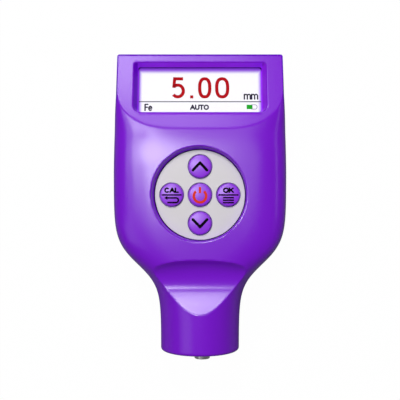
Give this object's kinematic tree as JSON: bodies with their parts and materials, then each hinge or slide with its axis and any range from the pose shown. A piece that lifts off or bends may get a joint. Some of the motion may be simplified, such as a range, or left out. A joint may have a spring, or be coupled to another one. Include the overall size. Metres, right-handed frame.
{
  "type": "coating thickness gauge",
  "caption": "Handheld coating thickness gauge: flat-backed violet housing, sloping display, round keypad, thumb scoop and a neck with a sprung probe.",
  "frame": {"origin": "middle of the length and width, on the surface that the flat back rests on", "axes": "+Y from the probe towards the display end, +Z out of the face, +X to the right seen from the front"},
  "size_m": [0.062, 0.1098, 0.0285],
  "materials": {
    "housing_violet": "satin moulded plastic",
    "key_violet": "satin, slightly pearly keys with printed symbols",
    "window_clear": "clear polished window",
    "display_white": "backlit white display with red and black figures",
    "plate_silver": "fine silver-grey satin",
    "white_plastic": "moulded",
    "black_plastic": "moulded",
    "flex_film": "amber film",
    "board_green": "solder mask",
    "probe_steel": "polished",
    "spring_steel": "bright zinc",
    "copper_winding": "varnished winding",
    "cell_jacket": "plain printed jacket, no maker"
  },
  "bodies": {
    "housing": {"front_shell": "housing_violet", "rear_shell": "housing_violet", "display_window": "window_clear", "lcd_panel": "display_white", "lcd_backlight": "white_plastic", "lcd_frame": "white_plastic", "lcd_flex": "flex_film", "keypad_plate": "plate_silver", "switch_up": "black_plastic", "switch_down": "black_plastic", "switch_left": "black_plastic", "switch_right": "black_plastic", "switch_power": "black_plastic", "main_board": "board_green", "controller_chip": "black_plastic", "probe_connector": "white_plastic", "probe_lead": "black_plastic", "probe_bush": "black_plastic", "probe_guide": "black_plastic", "probe_spring": "spring_steel", "battery_1": "cell_jacket", "battery_2": "cell_jacket", "contact_negative": "spring_steel", "contact_positive": "spring_steel", "contact_bridge": "spring_steel", "contact_spring_1": "spring_steel", "contact_spring_2": "spring_steel", "case_screw_1": "spring_steel", "case_screw_2": "spring_steel", "case_screw_3": "spring_steel", "case_screw_4": "spring_steel", "board_screw_1": "spring_steel", "board_screw_2": "spring_steel", "board_screw_3": "spring_steel", "board_screw_4": "spring_steel"},
    "battery_cover": {"battery_door": "housing_violet"},
    "up_button": {"key_up": "key_violet", "plunger_up": "white_plastic"},
    "down_button": {"key_down": "key_violet", "plunger_down": "white_plastic"},
    "left_button": {"key_left": "key_violet", "plunger_left": "white_plastic"},
    "right_button": {"key_right": "key_violet", "plunger_right": "white_plastic"},
    "power_button": {"key_power": "key_violet", "plunger_power": "white_plastic"},
    "probe": {"probe_tip": "probe_steel", "probe_barrel": "probe_steel", "probe_coil": "copper_winding"}
  },
  "joints": [
    {"name": "up_press", "type": "slide", "parent": "housing", "child": "up_button", "axis": [0, 0, -1], "range_m": [0, 0.0005], "stiffness_N_per_m": 400, "springref_m": -0.002},
    {"name": "down_press", "type": "slide", "parent": "housing", "child": "down_button", "axis": [0, 0, -1], "range_m": [0, 0.0005], "stiffness_N_per_m": 400, "springref_m": -0.002},
    {"name": "left_press", "type": "slide", "parent": "housing", "child": "left_button", "axis": [0, 0, -1], "range_m": [0, 0.0005], "stiffness_N_per_m": 400, "springref_m": -0.002},
    {"name": "right_press", "type": "slide", "parent": "housing", "child": "right_button", "axis": [0, 0, -1], "range_m": [0, 0.0005], "stiffness_N_per_m": 400, "springref_m": -0.002},
    {"name": "power_press", "type": "slide", "parent": "housing", "child": "power_button", "axis": [0, 0, -1], "range_m": [0, 0.0005], "stiffness_N_per_m": 400, "springref_m": -0.002},
    {"name": "probe_press", "type": "slide", "parent": "housing", "child": "probe", "axis": [0, 1, 0], "range_m": [0, 0.003], "stiffness_N_per_m": 300, "springref_m": -0.004, "deforming": ["probe_spring", "probe_lead"]},
    {"name": "cover_hinge", "type": "hinge", "parent": "housing", "child": "battery_cover", "pos_m": [0, -0.0044, 0.0002], "axis": [-1, 0, 0], "range_deg": [0, 60]}
  ]
}
